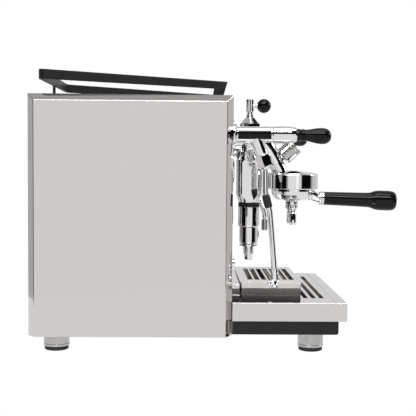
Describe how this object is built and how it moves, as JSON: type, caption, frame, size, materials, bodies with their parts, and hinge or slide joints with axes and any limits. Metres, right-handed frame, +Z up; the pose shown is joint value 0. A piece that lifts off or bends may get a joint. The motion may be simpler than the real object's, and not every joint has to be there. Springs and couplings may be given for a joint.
{
  "type": "espresso machine",
  "caption": "Dual-boiler espresso machine with a lever group head, twin lever taps, steam and hot water wands, drip tray and a rear water tank.",
  "frame": {"origin": "on the counter, at the middle of the machine's bounding box seen from above", "axes": "+Z up, -Y towards the user, -X the user's left"},
  "size_m": [0.34, 0.59, 0.4252],
  "materials": {
    "mirror_steel": "mirror-polished stainless sheet",
    "brushed_steel": "brushed stainless sheet",
    "chrome": "bright chrome plate on brass",
    "satin_steel": "satin turned stainless",
    "black_metal": "satin black powder coat",
    "black_gloss": "gloss black moulded phenolic",
    "rubber": "matt black rubber",
    "brass": "plain brass",
    "copper": "copper-brazed brass",
    "tank_plastic": "clear frosted plastic",
    "grey_plastic": "matt grey moulding",
    "needle_red": "red painted pointer"
  },
  "bodies": {
    "machine": {"base_chassis": "black_metal", "side_panel_right": "mirror_steel", "side_panel_left": "mirror_steel", "front_panel": "mirror_steel", "rear_panel": "brushed_steel", "top_plate": "brushed_steel", "cup_rail": "black_metal", "group_body": "chrome", "group_cap_nut": "chrome", "group_seal_ring": "rubber", "infusion_chamber": "chrome", "discharge_nozzle": "chrome", "group_gauge_case": "satin_steel", "group_gasket": "rubber", "shower_screen": "brushed_steel", "steam_valve_body": "chrome", "water_valve_body": "chrome", "steam_gauge_case": "chrome", "pump_gauge_case": "chrome", "display_unit": "black_gloss", "power_inlet": "grey_plastic", "steam_boiler": "brass", "brew_boiler": "copper", "pump_unit": "grey_plastic", "control_box": "grey_plastic", "foot_front_left": "satin_steel", "foot_pad_front_left": "rubber", "foot_front_right": "satin_steel", "foot_pad_front_right": "rubber", "foot_rear_left": "satin_steel", "foot_pad_rear_left": "rubber", "foot_rear_right": "satin_steel", "foot_pad_rear_right": "rubber"},
    "tray": {"drip_tray": "mirror_steel"},
    "grate": {"drip_grate": "mirror_steel"},
    "step": {"step_grate": "mirror_steel"},
    "flow_control": {"flow_stem": "chrome", "flow_knob": "black_gloss"},
    "lever": {"brew_lever": "chrome", "brew_lever_knob": "black_gloss"},
    "portafilter": {"portafilter_body": "chrome", "portafilter_basket": "satin_steel", "portafilter_spout": "chrome", "portafilter_handle": "black_gloss"},
    "steam_tap_lever": {"steam_knob": "black_gloss"},
    "steam_swivel": {"steam_ball": "chrome"},
    "steam_pipe": {"steam_wand": "chrome", "steam_tip": "satin_steel", "steam_wand_grip": "rubber"},
    "water_tap_lever": {"water_knob": "black_gloss"},
    "water_swivel": {"water_ball": "chrome"},
    "water_pipe": {"water_wand": "chrome", "water_tip": "satin_steel"},
    "tank": {"water_tank": "tank_plastic"},
    "lid": {"tank_lid": "brushed_steel"},
    "switch": {"power_switch": "black_gloss"},
    "selector": {"selector_knob": "chrome"},
    "group_needle": {"group_gauge_needle": "needle_red"},
    "steam_needle": {"steam_gauge_needle": "needle_red"},
    "pump_needle": {"pump_gauge_needle": "needle_red"}
  },
  "joints": [
    {"name": "tray_slide", "type": "slide", "parent": "machine", "child": "tray", "axis": [0, -1, 0], "range_m": [0, 0.16]},
    {"name": "grate_lift", "type": "slide", "parent": "tray", "child": "grate", "axis": [0, 0, 1], "range_m": [0, 0.014]},
    {"name": "step_lift", "type": "slide", "parent": "grate", "child": "step", "axis": [0, 0, 1], "range_m": [0, 0.02]},
    {"name": "flow_turn", "type": "hinge", "parent": "machine", "child": "flow_control", "pos_m": [0, -0.046, 0.37], "axis": [0, 0, 1], "range_deg": [0, 270]},
    {"name": "lever_lift", "type": "hinge", "parent": "machine", "child": "lever", "pos_m": [0, -0.046, 0.298], "axis": [-1, 0, 0], "range_deg": [0, 80]},
    {"name": "portafilter_lock", "type": "hinge", "parent": "machine", "child": "portafilter", "pos_m": [0, -0.118, 0.235], "axis": [0, 0, -1], "range_deg": [0, 55]},
    {"name": "steam_tap_tilt", "type": "hinge", "parent": "machine", "child": "steam_tap_lever", "pos_m": [-0.135, -0.1105, 0.33], "axis": [1, 0, 0], "range_deg": [-14, 14]},
    {"name": "steam_wand_swivel", "type": "hinge", "parent": "machine", "child": "steam_swivel", "pos_m": [-0.135, -0.0612, 0.28302], "axis": [0, -0.342, -0.9397], "range_deg": [-60, 60]},
    {"name": "steam_wand_tilt", "type": "hinge", "parent": "steam_swivel", "child": "steam_pipe", "pos_m": [-0.135, -0.0612, 0.28302], "axis": [1, 0, 0], "range_deg": [-12, 12]},
    {"name": "water_tap_tilt", "type": "hinge", "parent": "machine", "child": "water_tap_lever", "pos_m": [0.135, -0.1105, 0.33], "axis": [1, 0, 0], "range_deg": [-14, 14]},
    {"name": "water_wand_swivel", "type": "hinge", "parent": "machine", "child": "water_swivel", "pos_m": [0.135, -0.0612, 0.28302], "axis": [0, -0.342, -0.9397], "range_deg": [-60, 60]},
    {"name": "water_wand_tilt", "type": "hinge", "parent": "water_swivel", "child": "water_pipe", "pos_m": [0.135, -0.0612, 0.28302], "axis": [1, 0, 0], "range_deg": [-12, 12]},
    {"name": "tank_lift", "type": "slide", "parent": "machine", "child": "tank", "axis": [0, 0, 1], "range_m": [0, 0.2]},
    {"name": "lid_open", "type": "hinge", "parent": "tank", "child": "lid", "pos_m": [0, 0.271, 0.3858], "axis": [-1, 0, 0], "range_deg": [0, 85]},
    {"name": "switch_rock", "type": "hinge", "parent": "machine", "child": "switch", "pos_m": [0.09, -0.006, 0.205], "axis": [1, 0, 0], "range_deg": [-10, 0]},
    {"name": "selector_turn", "type": "hinge", "parent": "machine", "child": "selector", "pos_m": [-0.09, -0.015, 0.128], "axis": [0, -1, 0], "range_deg": [0, 90]},
    {"name": "group_needle_turn", "type": "hinge", "parent": "machine", "child": "group_needle", "pos_m": [0, -0.102, 0.2962], "axis": [0, -0.7254, 0.6884], "range_deg": [-270, 0], "stiffness_Nm_per_rad": 0.0002},
    {"name": "steam_needle_turn", "type": "hinge", "parent": "machine", "child": "steam_needle", "pos_m": [-0.09, -0.011, 0.278], "axis": [0, -1, 0], "range_deg": [-270, 0], "stiffness_Nm_per_rad": 0.0002},
    {"name": "pump_needle_turn", "type": "hinge", "parent": "machine", "child": "pump_needle", "pos_m": [0.09, -0.011, 0.278], "axis": [0, -1, 0], "range_deg": [-270, 0], "stiffness_Nm_per_rad": 0.0002}
  ]
}
